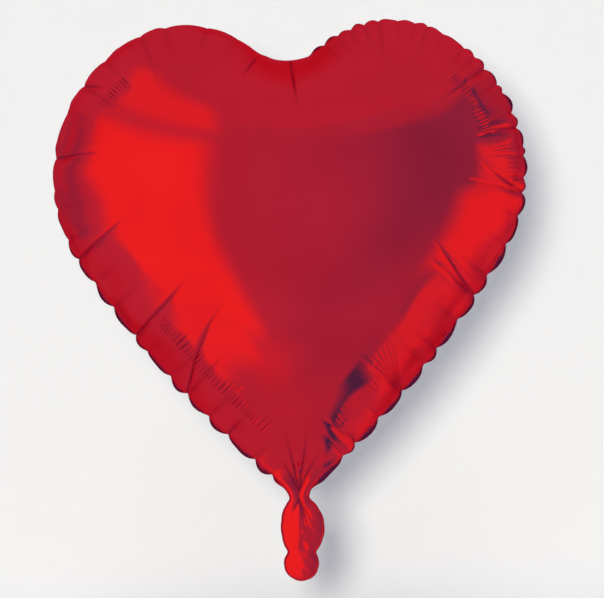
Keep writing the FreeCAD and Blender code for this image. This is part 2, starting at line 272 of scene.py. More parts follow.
def points_at(places, walked, line):
    """Points of a line at distances along it, from the distance of each of its own points."""
    return np.stack([np.interp(places, walked, line[:, axis]) for axis in (0, 1)], -1)


def smoothstep(value, start, end):
    share = np.clip((value - start) / (end - start), 0, 1)
    return share * share * (3 - 2 * share)


def arc(centre, radius, start, end):
    """Points from start towards end, the shorter way round the circle."""
    first = math.atan2(*(start - centre)[::-1])
    last = math.atan2(*(end - centre)[::-1])
    turn = (last - first + math.pi) % (2 * math.pi) - math.pi
    angle = first + turn * np.linspace(0, 1, max(3, int(abs(turn) * radius / OUTLINE_STEP)), endpoint=False)
    return centre + radius * np.stack([np.cos(angle), np.sin(angle)], 1)


def half_heart(neck):
    """Right half of the heart's edge, from the notch to the neck: four arcs that meet smoothly."""
    neck = np.array(neck)
    lobe = np.array([LOBE_OFFSET, HEART_TOP - LOBE_RADIUS])
    notch = np.array([0.0, NOTCH_HEIGHT])
    rise = notch[1] - lobe[1]
    notch_radius = (rise ** 2 + LOBE_OFFSET ** 2 - LOBE_RADIUS ** 2) / (2 * (LOBE_RADIUS - rise))
    hollow = notch + [0, notch_radius]
    side_across = HEART_WIDTH / 2 - SIDE_RADIUS
    drop = math.sqrt((SIDE_RADIUS - LOBE_RADIUS) ** 2 - (side_across - LOBE_OFFSET) ** 2)
    side = np.array([side_across, lobe[1] - drop])
    flank = crossing(side, FLANK_RADIUS - SIDE_RADIUS, neck, FLANK_RADIUS)
    cleft = lobe + LOBE_RADIUS * unit(hollow - lobe)
    shoulder = side + SIDE_RADIUS * unit(lobe - side)
    hip = flank + FLANK_RADIUS * unit(side - flank)
    return np.vstack([
        arc(hollow, notch_radius, notch, cleft),
        arc(lobe, LOBE_RADIUS, cleft, shoulder),
        arc(side, SIDE_RADIUS, shoulder, hip),
        arc(flank, FLANK_RADIUS, hip, neck),
    ])


def crossing(first, first_radius, second, second_radius):
    """Where two circles cross: the leftmost of the two points."""
    apart = np.linalg.norm(second - first)
    along = (apart ** 2 + first_radius ** 2 - second_radius ** 2) / (2 * apart)
    out = math.sqrt(first_radius ** 2 - along ** 2)
    ahead = (second - first) / apart
    across = np.array([-ahead[1], ahead[0]])
    options = [first + ahead * along + across * out * way for way in (1, -1)]
    return min(options, key=lambda point: point[0])


def curve_through(points, step):
    """A smooth curve through the points, without its last point."""
    ends = np.vstack([2 * points[0] - points[1], points, 2 * points[-1] - points[-2]])
    slope = (ends[2:] - ends[:-2]) / 2
    pieces = []
    for start, end, leave, arrive in zip(points, points[1:], slope, slope[1:]):
        count = max(2, int(np.linalg.norm(end - start) / step))
        way = np.linspace(0, 1, count, endpoint=False)[:, None]
        pieces.append(
            (2 * way ** 3 - 3 * way ** 2 + 1) * start + (way ** 3 - 2 * way ** 2 + way) * leave
            + (3 * way ** 2 - 2 * way ** 3) * end + (way ** 3 - way ** 2) * arrive
        )
    return np.vstack(pieces)


def smooth_round(values, times):
    """Evens out values that run round a closed loop."""
    for _ in range(times):
        values = (np.roll(values, 1, 0) + 2 * values + np.roll(values, -1, 0)) / 4
    return values


def tail_edge():
    """The tail's edge, down its right side and up its left: a leaf and a mouth, smoothed together."""
    down = np.linspace(1.0, TAIL_BOTTOM, int(TAIL_BOTTOM / OUTLINE_STEP))
    leaf = TAIL_HALF * np.sqrt(np.clip(1 - ((down - LEAF_DROP) / LEAF_HALF) ** 2, 0, 1))
    mouth = MOUTH_RADIUS * np.sqrt(np.clip(1 - ((down - MOUTH_DROP) / MOUTH_RADIUS) ** 2, 0, 1))
    half = np.maximum(np.maximum(leaf, mouth), THROAT_HALF * (down < LEAF_DROP))
    half[-1] = 0
    lean = TAIL_LEAN * np.sin(math.pi * np.clip(down / (2 * LEAF_DROP), 0, 1))
    right = np.stack([lean + half, -down], 1)
    left = np.stack([lean - half, -down], 1)[::-1]
    edge = np.vstack([[NECK_RIGHT], right, left[1:], [NECK_LEFT]])
    edge = along(edge, OUTLINE_STEP)
    for _ in range(TAIL_SOFTENING):
        edge[1:-1] = (edge[:-2] + 2 * edge[1:-1] + edge[2:]) / 4
    return edge[:-1]


def bent_line(start, heading, length, bend):
    """Points of a line that leaves start at a heading and turns steadily by bend on its way, in degrees."""
    steps = 8
    turn = np.radians(heading + bend * (np.arange(steps) + 0.5) / steps)
    moves = np.stack([np.cos(turn), np.sin(turn)], 1) * length / steps
    return np.vstack([[start], start + np.cumsum(moves, axis=0)])


class Rim:
    """The seam between the two films, with what varies along it, at unevenly spaced stations."""

    def __init__(self):
        right = half_heart(NECK_RIGHT)
        left = half_heart((-NECK_LEFT[0], NECK_LEFT[1]))[::-1] * [-1, 1]
        tail = tail_edge()
        dense = np.vstack([right, tail, left])
        dense = dense[np.r_[True, step_lengths(dense) > 1e-6]]
        steps = np.linalg.norm(np.roll(dense, -1, 0) - dense, axis=1)
        walked = np.r_[0, np.cumsum(steps)]
        self.length = walked[-1]
        self.dense, self.walked = dense, walked[:-1]
        self.tail_start = walked[len(right)]
        self.tail_end = self.length - step_lengths(left).sum()
        self.nodes, self.node_depths = self.place_nodes()
        stations, share, gap = self.place_stations()
        edge = points_at(stations, walked, np.vstack([dense, dense[:1]]))
        ahead = np.roll(edge, -1, 0) - np.roll(edge, 1, 0)
        out = units(np.stack([-ahead[:, 1], ahead[:, 0]], 1))
        self.out = units(smooth_round(out, OUT_ROUNDS))
        self.stations, self.share, self.gap = stations, share, gap
        above, below = NECK_FADE
        on_tail = smoothstep(stations, self.tail_start - above, self.tail_start + below)
        on_tail *= 1 - smoothstep(stations, self.tail_end - below, self.tail_end + above)
        self.on_tail = on_tail
        lift = np.abs(np.sin(math.pi * share)) ** GATHER_CURVE
        self.width = FLANGE + (TAIL_FLANGE - FLANGE) * on_tail
        shown = self.flange_shown(stations) * lift * np.clip(gap / FULL_GAP, *LIFT_LIMITS)
        self.shown = smooth_round(shown * (1 - on_tail) + TAIL_SHARE * TAIL_FLANGE * on_tail, SHOWN_ROUNDS)
        at_neck = np.exp(-((edge[:, 1] - 1) / 9) ** 2)
        inset_cut = (TAIL_INSET_CUT + NECK_INSET_CUT * at_neck) * on_tail
        self.inset_scale = smooth_round(1 - inset_cut, INSET_ROUNDS)
        allowance = smooth_round(self.shown, SEAM_ROUNDS)
        self.seam = edge - self.out * allowance[:, None]

    def at(self, place, values):
        """Values kept at the stations, read at places between them."""
        first = np.floor(place).astype(int) % len(values)
        share = place - np.floor(place)
        if values.ndim > 1:
            share = share[:, None]
        return values[first] * (1 - share) + values[(first + 1) % len(values)] * share

    def foot(self, side, height):
        """How far along the rim the place at a height lies, on the right (1) or the left (-1)."""
        across, up = self.dense[:, 0] * side, self.dense[:, 1]
        outer = (across > LOBE_OFFSET) | (up < HEART_TOP - LOBE_RADIUS)
        outer &= (across > 0) & (up > NECK_LEFT[1])
        return self.walked[np.argmin(np.where(outer, np.abs(up - height), np.inf))]

    def place_nodes(self):
        """Distances of all the gathers round the closed rim, and how deep each is."""
        rng = np.random.default_rng(PLACE_SEED)
        right = {self.foot(1, crease[0]) for crease in RIGHT_CREASES} | {self.foot(1, FAN_HEIGHT)}
        left = {self.foot(-1, crease[0]) for crease in LEFT_CREASES}
        places, depths = [], []
        for side, feet, first, last in (
            (1, right, NOTCH_CLEAR, self.tail_start - NECK_CLEAR),
            (-1, left, self.tail_end + NECK_CLEAR, self.length - NOTCH_CLEAR),
        ):
            if side < 0:
                tail = np.arange(self.tail_start + 6, self.tail_end - 3, TAIL_NODE_SPACING)
                places += list(tail)
                depths += [TAIL_NODE_DEPTH] * len(tail)
            stops = [first] + sorted(feet) + [last]
            for start, end in zip(stops, stops[1:]):
                middle = self.dense[np.searchsorted(self.walked, (start + end) / 2), 1]
                spacing = GATHER_SPACING[side][0 if middle > WIDEST_HEIGHT else 1]
                count = max(1, round((end - start) / spacing))
                shift = rng.uniform(-GATHER_UNEVENNESS, GATHER_UNEVENNESS, count - 1)
                places += list(start + (np.arange(count) + np.r_[0, shift]) * (end - start) / count)
                depths.append(FOOT_DEPTH if start in feet else END_DEPTH)
                depths += list(rng.uniform(*GATHER_DEPTHS, count - 1))
        return np.array(places, float), np.array(depths)

    def line_in(self, side, height, length, lean, bend):
        """The path of a crease, from its foot on the rim inwards."""
        station = self.foot(side, height)
        start = points_at(station, self.stations, self.seam)
        out = points_at(station, self.stations, self.out)
        heading = math.degrees(math.atan2(-out[1], -out[0])) - side * lean
        return bent_line(start, heading, length, -side * bend)

    def place_stations(self):
        """Stations with one on every gather, and where each lies between its two gathers."""
        stations, share, gap = [], [], []
        ends = np.r_[self.nodes, self.nodes[0] + self.length]
        for start, end in zip(ends, ends[1:]):
            step = TAIL_STEP if self.tail_start - 15 < start < self.tail_end + 12 else HEART_STEP
            count = max(4, round((end - start) / step))
            way = np.arange(count) / count
            stations.append(start + way * (end - start))
            share.append(way)
            gap.append(np.full(count, end - start))
        stations, share, gap = (np.concatenate(each) for each in (stations, share, gap))
        stations %= self.length
        order = np.argsort(stations)
        return stations[order], share[order], gap[order]

    def flange_shown(self, stations):
        """How far the rim stands out in the heart's plane. It curls back on the left."""
        beyond = stations - self.tail_end
        over_lobe = smoothstep(stations, *LOBE_STARTS) * (1 - smoothstep(stations, *LOBE_ENDS))
        right = smoothstep(stations, *RIGHT_STARTS) * (1 - LOBE_SHARE * over_lobe)
        right *= 1 - smoothstep(beyond, *RIGHT_ENDS)
        left = smoothstep(beyond, *LEFT_STARTS) * (1 - smoothstep(beyond, *LEFT_ENDS))
        return LEAST_SHOWN + SHOWN_RIGHT * right + SHOWN_LEFT * left


# ---- The mesh of one film ----
def distance_to(points, line):
    """Distance of each point to a line of points, and how far along the line its nearest place is."""
    best = np.full(len(points), np.inf)
    place = np.zeros(len(points))
    walked = 0.0
    for start, end in zip(line, line[1:]):
        run = end - start
        size = run @ run
        way = np.clip(((points - start) @ run) / size, 0, 1)
        gap = np.hypot(*(points - start - way[:, None] * run).T)
        nearer = gap < best
        best[nearer] = gap[nearer]
        place[nearer] = walked + way[nearer] * math.sqrt(size)
        walked += math.sqrt(size)
    return best, place


def search_tree(points):
    tree = KDTree(len(points))
    for index, (x, y) in enumerate(points):
        tree.insert((x, y, 0), index)
    tree.balance()
    return tree


def nearest_on_loop(points, loop, out):
    """Signed distance in from a closed loop, and the loop's own index, with a fraction, at that place."""
    tree = search_tree(loop)
    nearest = np.array([tree.find((x, y, 0))[1] for x, y in points])
    best = np.full(len(points), np.inf)
    place = np.zeros(len(points))
    side = np.zeros(len(points))
    for shift in (-1, 0):
        first = (nearest + shift) % len(loop)
        start, end = loop[first], loop[(first + 1) % len(loop)]
        run = end - start
        way = np.clip(((points - start) * run).sum(1) / (run ** 2).sum(1), 0, 1)
        away = points - start - way[:, None] * run
        gap = np.hypot(*away.T)
        nearer = gap < best
        best[nearer] = gap[nearer]
        place[nearer] = (first + way)[nearer]
        side[nearer] = -(away * out[first]).sum(1)[nearer]
    return best * np.sign(side), place


def lattice(spacing, low, high):
    """Points at the corners of equal triangles that fill a box."""
    rows = np.arange(low[1], high[1], spacing * math.sqrt(3) / 2)
    columns = np.arange(low[0], high[0], spacing)
    across = np.add.outer(np.arange(len(rows)) % 2 * spacing / 2, columns)
    return np.stack([across.ravel(), np.repeat(rows, len(columns))], 1)


def along(line, step):
    """The same line with its points evenly spaced."""
    walked = np.r_[0, np.cumsum(step_lengths(line))]
    return points_at(np.linspace(0, walked[-1], max(2, int(walked[-1] / step))), walked, line)


def sideways(line):
    """For a line of closely spaced points: its normals, to its left."""
    ahead = units(np.gradient(line, axis=0))
    return np.stack([-ahead[:, 1], ahead[:, 0]], 1)


def smooth_line(line, step):
    """A smooth curve through a few points, evenly spaced."""
    return along(np.vstack([curve_through(line, 0.5), line[-1:]]), step)


def pleat_rows(rim, pleat):
    """Mesh points in rows across a band of pleats, close enough together to carry them."""
    side, low, high, inset, _, wide = pleat
    start, end = sorted((rim.foot(side, low), rim.foot(side, high)))
    stations = np.arange(start, end, PLEAT_SPACING / 6)
    seam, out = (points_at(stations, rim.stations, line) for line in (rim.seam, rim.out))
    return [seam - out * (inset + aside) for aside in np.arange(-1.5, wide + 1, 1.7)]


def inner_points(loop, rim, creases, pleats):
    """Mesh points inside the last ring: in rows along creases and pleats, and a lattice elsewhere."""
    fixed = []
    for _, _, line in creases:
        path = smooth_line(line, 1.3)
        fixed += [path + sideways(path) * aside for aside in CREASE_LINES]
    rows = [row for pleat in pleats for row in pleat_rows(rim, pleat)]
    kept = []
    for points, reach in ((np.vstack(rows), 0.45), (np.vstack(fixed), 0.6)):
        gap, _ = nearest_on_loop(points, loop, rim.out)
        points = thin_out(points[gap > 0.8], reach)
        if kept:
            points = points[far_from(points, kept[0], 0.8)]
        kept.append(points)
    special = np.vstack(kept)
    low, high = loop.min(0), loop.max(0)
    for spacing in (TAIL_SPACING, EDGE_SPACING, MIDDLE_SPACING, CENTRE_SPACING):
        top = np.array([high[0], TAIL_BAND + 5]) if spacing == TAIL_SPACING else high
        points = lattice(spacing, low, top)
        gap, _ = nearest_on_loop(points, loop, rim.out)
        wanted = np.where(gap < MIDDLE_BAND, MIDDLE_SPACING, CENTRE_SPACING)
        wanted[gap < EDGE_BAND] = EDGE_SPACING
        wanted[points[:, 1] < TAIL_BAND] = TAIL_SPACING
        points = points[(wanted == spacing) & (gap > 0.6 * spacing)]
        kept.append(points[far_from(points, special, 0.62 * spacing)])
    return np.vstack(kept)


def thin_out(points, reach):
    """Drops points that lie closer than reach to an earlier one."""
    tree = search_tree(points)
    keep = np.ones(len(points), bool)
    for index, (x, y) in enumerate(points):
        if keep[index]:
            for _, other, _ in tree.find_range((x, y, 0), reach):
                if other > index:
                    keep[other] = False
    return points[keep]


def far_from(points, others, reach):
    """Which points are at least that far from all the others."""
    tree = search_tree(others)
    return np.array([tree.find((x, y, 0))[2] > reach for x, y in points], bool)


def ring_faces(outer, inner):
    """Triangles between two closed rings of the same number of vertices."""
    outer_next, inner_next = np.roll(outer, -1), np.roll(inner, -1)
    return np.vstack([
        np.stack([outer, inner, inner_next], 1),
        np.stack([outer, inner_next, outer_next], 1),
    ])


def flat_film(rim, creases, pleats, hole=None):
    """Vertices of one film in the heart's plane, its triangles, and how many make one ring."""
    rings = [rim.seam + rim.out * (rim.width * share)[:, None] for share in (1.0, 0.5)]
    rings.append(rim.seam)
    for inset in INSETS:
        rings.append(rim.seam - rim.out * (inset * rim.inset_scale)[:, None])
    count = len(rim.seam)
    loop = rings[-1]
    extra = inner_points(loop, rim, creases, pleats)
    edges = [(i, (i + 1) % count) for i in range(count)]
    cut = np.zeros((0, 2))
    if hole:
        centre, radius = hole
        angle = np.linspace(0, 2 * math.pi, 40, endpoint=False)
        cut = np.array(centre) + radius * np.stack([np.cos(angle), np.sin(angle)], 1)
        extra = extra[np.hypot(*(extra - centre).T) > radius + 0.5]
        edges += [(count + i, count + (i + 1) % len(cut)) for i in range(len(cut))]
    flat = np.vstack([loop, cut, extra])
    found, _, faces, origin, _, _ = delaunay_2d_cdt([Vector(p) for p in flat], edges, [], 1, 1e-7)
    found, faces = np.array(found), np.array(faces)
    if hole:
        faces = faces[np.hypot(*(found[faces].mean(1) - centre).T) > radius * 0.99]
    index = np.zeros(len(found), int)
    fresh = []
    for vertex, sources in enumerate(origin):
        on_ring = [source for source in sources if source < count]
        if on_ring:
            index[vertex] = (len(rings) - 1) * count + on_ring[0]
        else:
            index[vertex] = len(rings) * count + len(fresh)
            fresh.append(found[vertex])
    ring = np.arange(count)
    triangles = [ring_faces(ring + k * count, ring + (k + 1) * count) for k in range(len(rings) - 1)]
    return np.vstack(rings + [fresh]), np.vstack(triangles + [index[faces]]), count


def counter_clockwise(points, triangles):
    """The triangles with all facing the same way, and without those that have no area."""
    a, b, c = (points[triangles[:, k]] for k in range(3))
    area = (b[:, 0] - a[:, 0]) * (c[:, 1] - a[:, 1]) - (b[:, 1] - a[:, 1]) * (c[:, 0] - a[:, 0])
    triangles = triangles.copy()
    triangles[area < 0] = triangles[area < 0][:, ::-1]
    return triangles[np.abs(area) > 1e-9]


# ---- The blown-up shape ----
def membrane(points, triangles, fixed):
    """Height of a soap film blown up over the outline: Poisson's equation on the triangles."""
    first, second, weight = [], [], []
    load = np.zeros(len(points))
    for k in range(3):
        tip, left, right = (triangles[:, (k + shift) % 3] for shift in range(3))
        one, two = points[left] - points[tip], points[right] - points[tip]
        area = np.abs(one[:, 0] * two[:, 1] - one[:, 1] * two[:, 0])
        first.append(left)
        second.append(right)
        weight.append(0.5 * (one * two).sum(1) / area)
        load += np.bincount(tip, area / 6, len(points))
    first, second, weight = (np.concatenate(each) for each in (first, second, weight))
    diagonal = np.bincount(first, weight, len(points)) + np.bincount(second, weight, len(points))
    free = (~fixed & (diagonal > 1e-12)).astype(float)
    scale = free / np.where(diagonal > 1e-12, diagonal, 1)

    def apply(values):
        flow = np.bincount(first, weight * values[second], len(points))
        flow += np.bincount(second, weight * values[first], len(points))
        return (diagonal * values - flow) * free

    height = np.zeros(len(points))
    residual = load * free
    ready = scale * residual
    direction = ready.copy()
    energy = residual @ ready
    for _ in range(2500):
        pushed = apply(direction)
        step = energy / (direction @ pushed)
        height += step * direction
        residual -= step * pushed
        ready = scale * residual
        fresh = residual @ ready
        if fresh < 1e-14:
            break
        direction = ready + fresh / energy * direction
        energy = fresh
    return height


def vertex_normals(points, triangles):
    """Normals at the vertices, each triangle counted by its angle there."""
    a, b, c = (points[triangles[:, k]] for k in range(3))
    faces = units(np.cross(b - a, c - a))
    result = np.zeros_like(points)
    for k, (tip, left, right) in enumerate([(a, b, c), (b, c, a), (c, a, b)]):
        cosine = (units(left - tip) * units(right - tip)).sum(1)
        angle = np.arccos(np.clip(cosine, -1, 1))
        for axis in range(3):
            result[:, axis] += np.bincount(triangles[:, k], angle * faces[:, axis], len(points))
    return units(result)


def dome(flat, triangles, count):
    """Height of the film above the heart's plane: a full dome above the neck, a limp tail below."""
    body = triangles[(triangles >= RINGS_OUT * count).all(1)]
    swell = membrane(flat, body, np.arange(len(flat)) < (RINGS_OUT + 1) * count)
    share = np.clip(swell / swell.max(), 0, 1)
    heart = DOME_DEPTH * (1 - (1 - share) ** DOME_FULLNESS)
    in_tail = flat[:, 1] < -10
    limp = TAIL_PUFF * np.sqrt(np.clip(swell / swell[in_tail].max(), 0, 1))
    blown = smoothstep(flat[:, 1], *DOME_STARTS)
    return heart * blown + limp * (1 - blown)


def wobble(points, rng, height, waves, shortest, longest):
    """A smooth uneven field about zero, as a sum of waves in random directions."""
    field = np.zeros(len(points))
    for _ in range(waves):
        turn = rng.uniform(0, 2 * math.pi)
        length = rng.uniform(shortest, longest)
        phase = rng.uniform(0, 2 * math.pi)
        run = points @ np.array([math.cos(turn), math.sin(turn)])
        field += np.sin(2 * math.pi * run / length + phase)
    return height * field / math.sqrt(waves)


def crease_profile(aside):
    """A sharp line with a soft hollow on both sides: 1 on the line, 0 far from it."""
    return 0.7 * np.exp(-aside / 1.1) + 0.3 * np.exp(-aside / 6.0)


def pleat_wave(rim, station, gap, pleat):
    """A band of pleats: its depth, where it is (1 inside, 0 outside) and the wave across the pleats."""
    side, low, high, inset, deep, wide = pleat
    start, end = sorted((rim.foot(side, low), rim.foot(side, high)))
    run, inward = station - start, gap - inset
    length = wide * (0.8 + 0.2 * np.sin(run / 4.3) * np.sin(run / 11))
    mask = smoothstep(inward, -1.2, 1.0) * (1 - smoothstep(inward, 0.3 * length, length))
    mask *= smoothstep(run, 0, 5) * (1 - smoothstep(run, end - start - 5, end - start))
    mask *= 0.7 + 0.3 * np.sin(run / 2.7 + 1)
    uneven = run / PLEAT_SPACING + 0.12 * np.sin(run / 9)
    return deep, mask, 1 - np.abs(np.sin(math.pi * uneven)) ** PLEAT_SHARPNESS


def relief(flat, rim, gap, place, creases, folds, pleats, rng):
    """How far the film stands off the smooth dome (gathers at the rim, creases, pleats, unevenness), and the
    painted shade that darkens its gathers, creases, folds and pleats.
    """
    depth, reach = rim.at(place, rim.depth), rim.at(place, rim.reach)
    pinch = rim.at(place, rim.pinch) * np.exp(-(gap / reach) ** 2) * (1 - np.exp(-gap / 5))
    result = -GATHER_HOLLOW * depth * pinch
    # Painted shade where the rim gathers into a pucker.
    fold_painted_shade = 0.3 * pinch * np.clip(depth, 0, 2)
    lifted = 1 - np.exp(-(gap / 4) ** 2)
    for deep, broad, line in creases + folds:
        path = smooth_line(line, 2.0)
        aside, run = distance_to(flat, path)
        total = step_lengths(path).sum()
        fade = 1 - smoothstep(run, 0.3 * total, total)
        result -= deep * fade * crease_profile(aside / broad) * lifted
        # Painted shade along each crease and fold.
        dark = min(1, max(0, deep)) * fade * np.exp(-(aside / 0.9) ** 2)
        fold_painted_shade = np.maximum(fold_painted_shade, dark)
    station = rim.at(place, rim.stations)
    for pleat in pleats:
        deep, mask, wave = pleat_wave(rim, station, gap, pleat)
        result -= deep * mask * wave
        # Painted shade in the pleats' valleys.
        fold_painted_shade = np.maximum(fold_painted_shade, PLEAT_PAINTED_SHADE * deep * mask * wave ** 2)
    near_rim = np.exp(-(gap / RIM_UNEVEN_REACH) ** 2)
    on_heart = smoothstep(flat[:, 1], 0, 30)
    result += near_rim * lifted * on_heart * wobble(flat, rng, *RIM_UNEVENNESS)
    result += lifted * on_heart * wobble(flat, rng, *WIDE_UNEVENNESS)
    result *= lifted
    result += lifted * (1 - on_heart) * wobble(flat, rng, *TAIL_UNEVENNESS)
    return result, np.clip(fold_painted_shade, 0, 1)


def film(name, rim, side, creases, folds, pleats, seed, hole=None):
    """One film: dome, seal flange, neck and tail in one closed thin sheet. side is -1 in front, 1 behind."""
    rng = np.random.default_rng(seed)
    flat, triangles, count = flat_film(rim, creases + folds, pleats, hole)
    triangles = counter_clockwise(flat, triangles)
    height = dome(flat, triangles, count)
    gap, place = rim_place(flat, rim, count)
    if side > 0:
        triangles = triangles[:, ::-1]
    base = np.stack([flat[:, 0], side * height, flat[:, 1]], 1)
    inner = triangles[(triangles >= RINGS_OUT * count).all(1)]
    normals = vertex_normals(base, inner)
    out = rim.at(place, rim.out)
    outward = np.stack([out[:, 0], 0 * height, out[:, 1]], 1)
    offset, fold_painted_shade = relief(flat, rim, gap, place, creases, folds, pleats, rng)
    offset = np.maximum(offset, -DEEPEST_SHARE * height)
    scallop = -rim.at(place, rim.depth * rim.scallop) * np.exp(-gap / 7)
    shaped = base + normals * offset[:, None] + outward * scallop[:, None]
    shaped[:, 1] -= TAIL_TWIST * (shaped[:, 0] - TAIL_LEAN) * smoothstep(-flat[:, 1], *TWIST_STARTS)
    lay_flange(shaped, rim, count)
    shell_normals = vertex_normals(shaped, triangles)
    outer = shaped + shell_normals * (FILM + FILM_GAP)
    lining = shaped + shell_normals * FILM_GAP
    piece = closed_sheet(name, outer, lining, triangles)
    near_rim = np.exp(-gap / CRINKLE_REACH)
    # Painted dark reflection on the sealed rim: stronger where more of it shows from the front, none on the
    # tail.
    dark = smoothstep(smooth_round(rim.shown, SEAL_ROUNDS), *SEAL_STARTS) * (1 - rim.on_tail)
    seal_painted_dark = np.zeros(len(flat))
    seal_painted_dark[:(RINGS_OUT + 1) * count] = np.r_[dark, dark, 0.3 * dark]
    for label, values in (("rim", near_rim), ("seal_painted_dark", seal_painted_dark), ("fold_painted_shade", fold_painted_shade)):
        give_attribute(piece, label, values)
    return piece


def rim_place(flat, rim, count):
    """Each vertex's distance in from the seam, and the place along the rim that is nearest to it."""
    gap, place = nearest_on_loop(flat, rim.seam, rim.out)
    for ring in range(RINGS_OUT + 1 + len(INSETS)):
        place[ring * count:(ring + 1) * count] = np.arange(count)
    gap[:(RINGS_OUT + 1) * count] = 0
    return np.abs(gap), place


def lay_flange(shaped, rim, count):
    """Lays the seal flange out from the seam. It leans back by as much as hides its width."""
    wave = 0.10 * np.sin(rim.stations / 7.3) + 0.07 * np.sin(rim.stations / 3.1 + 2)
    lean = np.arccos(np.clip(rim.shown / rim.width, 0, 1)) + wave * (1 - rim.on_tail)
    lean = np.clip(lean, 0, STEEPEST_LEAN)
    seam = shaped[2 * count:3 * count]
    out = np.stack([rim.out[:, 0] * np.cos(lean), np.sin(lean), rim.out[:, 1] * np.cos(lean)], 1)
    shaped[:count] = seam + out * rim.width[:, None]
    shaped[count:2 * count] = seam + out * (rim.width / 2)[:, None]


def closed_sheet(name, outer, lining, triangles):
    """A thin closed solid between two copies of one surface."""
    count = len(outer)
    sides = np.vstack([triangles[:, [0, 1]], triangles[:, [1, 2]], triangles[:, [2, 0]]])
    known = set(map(tuple, sides))
    rim = np.array([(a, b) for a, b in map(tuple, sides) if (b, a) not in known])
    faces = np.vstack([
        triangles,
        triangles[:, ::-1] + count,
        np.stack([rim[:, 1], rim[:, 0], rim[:, 0] + count], 1),
        np.stack([rim[:, 1], rim[:, 0] + count, rim[:, 1] + count], 1),
    ])
    return mesh_object(name, np.vstack([outer, lining]), faces)


def mesh_object(name, points, faces):
    mesh = bpy.data.meshes.new(name)
    mesh.from_pydata((points * MM).tolist(), [], faces.tolist())
    mesh.update()
    mesh.polygons.foreach_set("use_smooth", np.ones(len(faces), bool))
    return put_in_scene(name, mesh)


def put_in_scene(name, data):
    thing = bpy.data.objects.new(name, data)
    bpy.context.scene.collection.objects.link(thing)
    return thing


def give_attribute(piece, name, values):
    """Gives a film's values to its outer surface and to its lining."""
    layer = piece.data.attributes.new(name, "FLOAT", "POINT")
    layer.data.foreach_set("value", np.r_[values, values].astype(np.float32))


def finish_rim(rim):
    """What varies along the rim between its gathers, at every station."""
    rng = np.random.default_rng(REACH_SEED)
    nodes, count = rim.nodes, len(rim.nodes)
    before = (np.searchsorted(nodes, rim.stations, side="right") - 1) % count
    after = (before + 1) % count
    reach = rng.uniform(*GATHER_REACHES, count) * np.sqrt(np.clip(rim.node_depths, 0.3, 3))
    rim.depth = rim.node_depths[before] * (1 - rim.share) + rim.node_depths[after] * rim.share
    rim.reach = reach[before] * (1 - rim.share) + reach[after] * rim.share
    rim.scallop = SCALLOP - np.abs(np.sin(math.pi * rim.share)) ** GATHER_CURVE
    to_node = np.minimum(rim.share, 1 - rim.share) * rim.gap
    rim.pinch = np.exp(-to_node / GATHER_BREADTH)


# ---- The valve ----
def valve_ply(name, side):
    """One soft ply of the valve: a flat strip through the neck, gathered where it is pinched."""
    low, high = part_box("valve_front_ply" if side < 0 else "valve_back_ply")
    up = np.linspace(low.z / MM, high.z / MM, PLY_ROWS)
    across = np.linspace(-1, 1, PLY_COLUMNS)
    above = PLY_PINCHED + (PLY_ABOVE - PLY_PINCHED) * smoothstep(up, 2, 30)
    below = PLY_PINCHED + (PLY_BELOW - PLY_PINCHED) * smoothstep(-up, 2, 16)
    half = np.where(up > 0, above, below)
    shift = PLY_SHIFT * np.exp(-(up / 20) ** 2)
    grid_x = shift[:, None] + half[:, None] * across[None]
    grid_z = np.repeat(up[:, None], len(across), 1)
    away = 0.16 + 0.25 * smoothstep(np.abs(up), 3, 25)
    ripple = 0.25 * np.sin(up / 9) * smoothstep(np.abs(up), 3, 20)
    grid_y = side * away[:, None] + ripple[:, None] * np.sin(across * 4)[None]
    points = np.stack([grid_x, grid_y, grid_z], 2).reshape(-1, 3)
    cells = np.arange(len(points)).reshape(len(up), len(across))
    corners = (cells[:-1, :-1], cells[:-1, 1:], cells[1:, 1:], cells[1:, :-1])
    a, b, c, d = (corner.ravel() for corner in corners)
    triangles = np.vstack([np.stack([a, b, c], 1), np.stack([a, c, d], 1)])
    if side > 0:
        triangles = triangles[:, ::-1]
    normal = np.array([0.0, side, 0.0])
    return closed_sheet(name, points + normal * PLY_FILM, points, triangles)


# ---- Materials ----
def new_material(name):
    """A material, its nodes and its one shader."""
    material = bpy.data.materials.new(name)
    material.use_nodes = True
    tree = material.node_tree
    tree.nodes.clear()
    shader = tree.nodes.new("ShaderNodeBsdfPrincipled")
    add_node(tree, "OutputMaterial", {"Surface": shader.outputs["BSDF"]})
    return material, tree, shader


def connect(tree, node, inputs):
    """Gives inputs of a node, by name or number, fixed values or links to other nodes' outputs."""
    for name, value in inputs.items():
        if isinstance(value, bpy.types.NodeSocket):
            tree.links.new(value, node.inputs[name])
        else:
            node.inputs[name].default_value = value


def add_node(tree, kind, inputs, **settings):
    """The outputs of a new node with these inputs and settings."""
    node = tree.nodes.new("ShaderNode" + kind)
    for name, value in settings.items():
        setattr(node, name, value)
    connect(tree, node, inputs)
    return node.outputs


def noise(tree, scale, detail=2.0, rough=0.5):
    place = add_node(tree, "TexCoord", {})["Object"]
    inputs = {"Vector": place, "Scale": scale, "Detail": detail, "Roughness": rough}
    return add_node(tree, "TexNoise", inputs)["Fac"]


def ramp(tree, factor, low, high, start=0.0, end=1.0):
    """Turns a factor into a number between low and high."""
    inputs = {"Value": factor, "From Min": start, "From Max": end, "To Min": low, "To Max": high}
    return add_node(tree, "MapRange", inputs)["Result"]


def mix(tree, factor, first, second, kind="RGBA"):
    """Blends two colours, or with kind FLOAT two numbers."""
    return add_node(tree, "Mix", {"Factor": factor, "A": first, "B": second}, data_type=kind)["Result"]


def attribute(tree, name):
    return add_node(tree, "Attribute", {}, attribute_name=name)["Fac"]


def math_node(tree, operation, *values):
    return add_node(tree, "Math", dict(enumerate(values)), operation=operation)["Value"]


def bump(tree, height, strength, distance, previous=None):
    inputs = {"Height": height, "Strength": strength, "Distance": distance}
    if previous is not None:
        inputs["Normal"] = previous
    return add_node(tree, "Bump", inputs)["Normal"]


